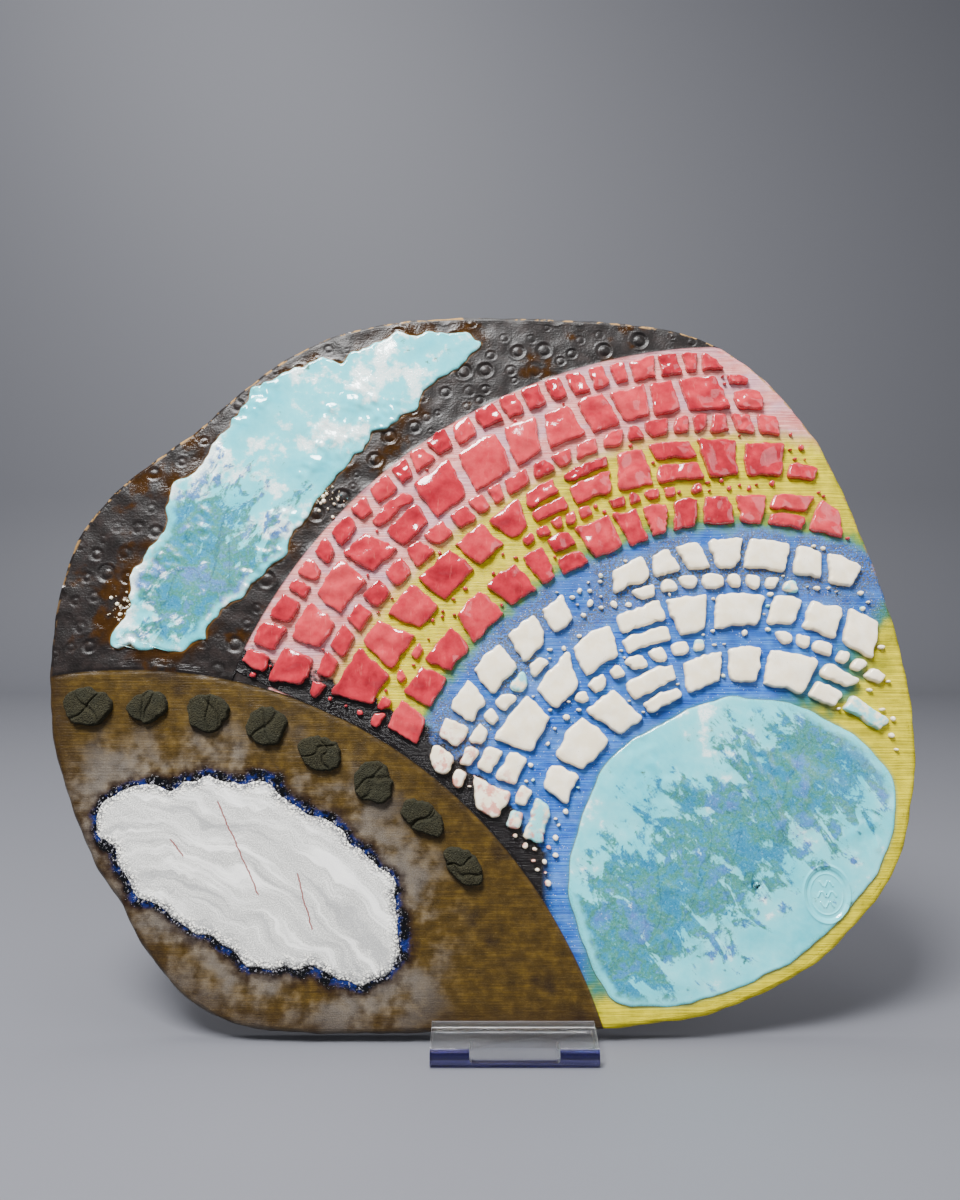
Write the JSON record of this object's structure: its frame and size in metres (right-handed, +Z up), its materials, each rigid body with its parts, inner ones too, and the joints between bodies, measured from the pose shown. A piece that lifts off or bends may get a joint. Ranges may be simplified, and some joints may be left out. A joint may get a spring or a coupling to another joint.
{
  "type": "ceramic tile",
  "caption": "Pebble-shaped glazed stoneware relief tile with clay chips and thick glaze pools, leaning upright on a small bent clear acrylic display stand.",
  "frame": {"origin": "middle of the underside of the stand's base, on the table", "axes": "+X to the right as the tile's face is seen, +Y to the back, +Z up"},
  "size_m": [0.4314, 0.1102, 0.3601],
  "materials": {
    "glazed_stoneware": "glossy and satin glazes in dark brown, olive, blue, yellow and pink over coarse stoneware",
    "turquoise_glaze": "thick glossy turquoise glaze with white foam and blue-green mottling",
    "crackle_glaze": "matt white crawled glaze, grey speckled, with a blue-black bubbled edge",
    "cream_glaze": "cream-white gloss",
    "coral_glaze": "coral-red gloss, lighter where thin",
    "charcoal_clay": "matt coarse unglazed clay",
    "bare_stoneware": "bare tan stoneware with fine grog",
    "clear_acrylic": "clear polished sheet with a violet-blue cast in its front bend"
  },
  "bodies": {
    "root": {"ceramic_tile": "glazed_stoneware", "display_stand": "clear_acrylic"}
  },
  "joints": []
}
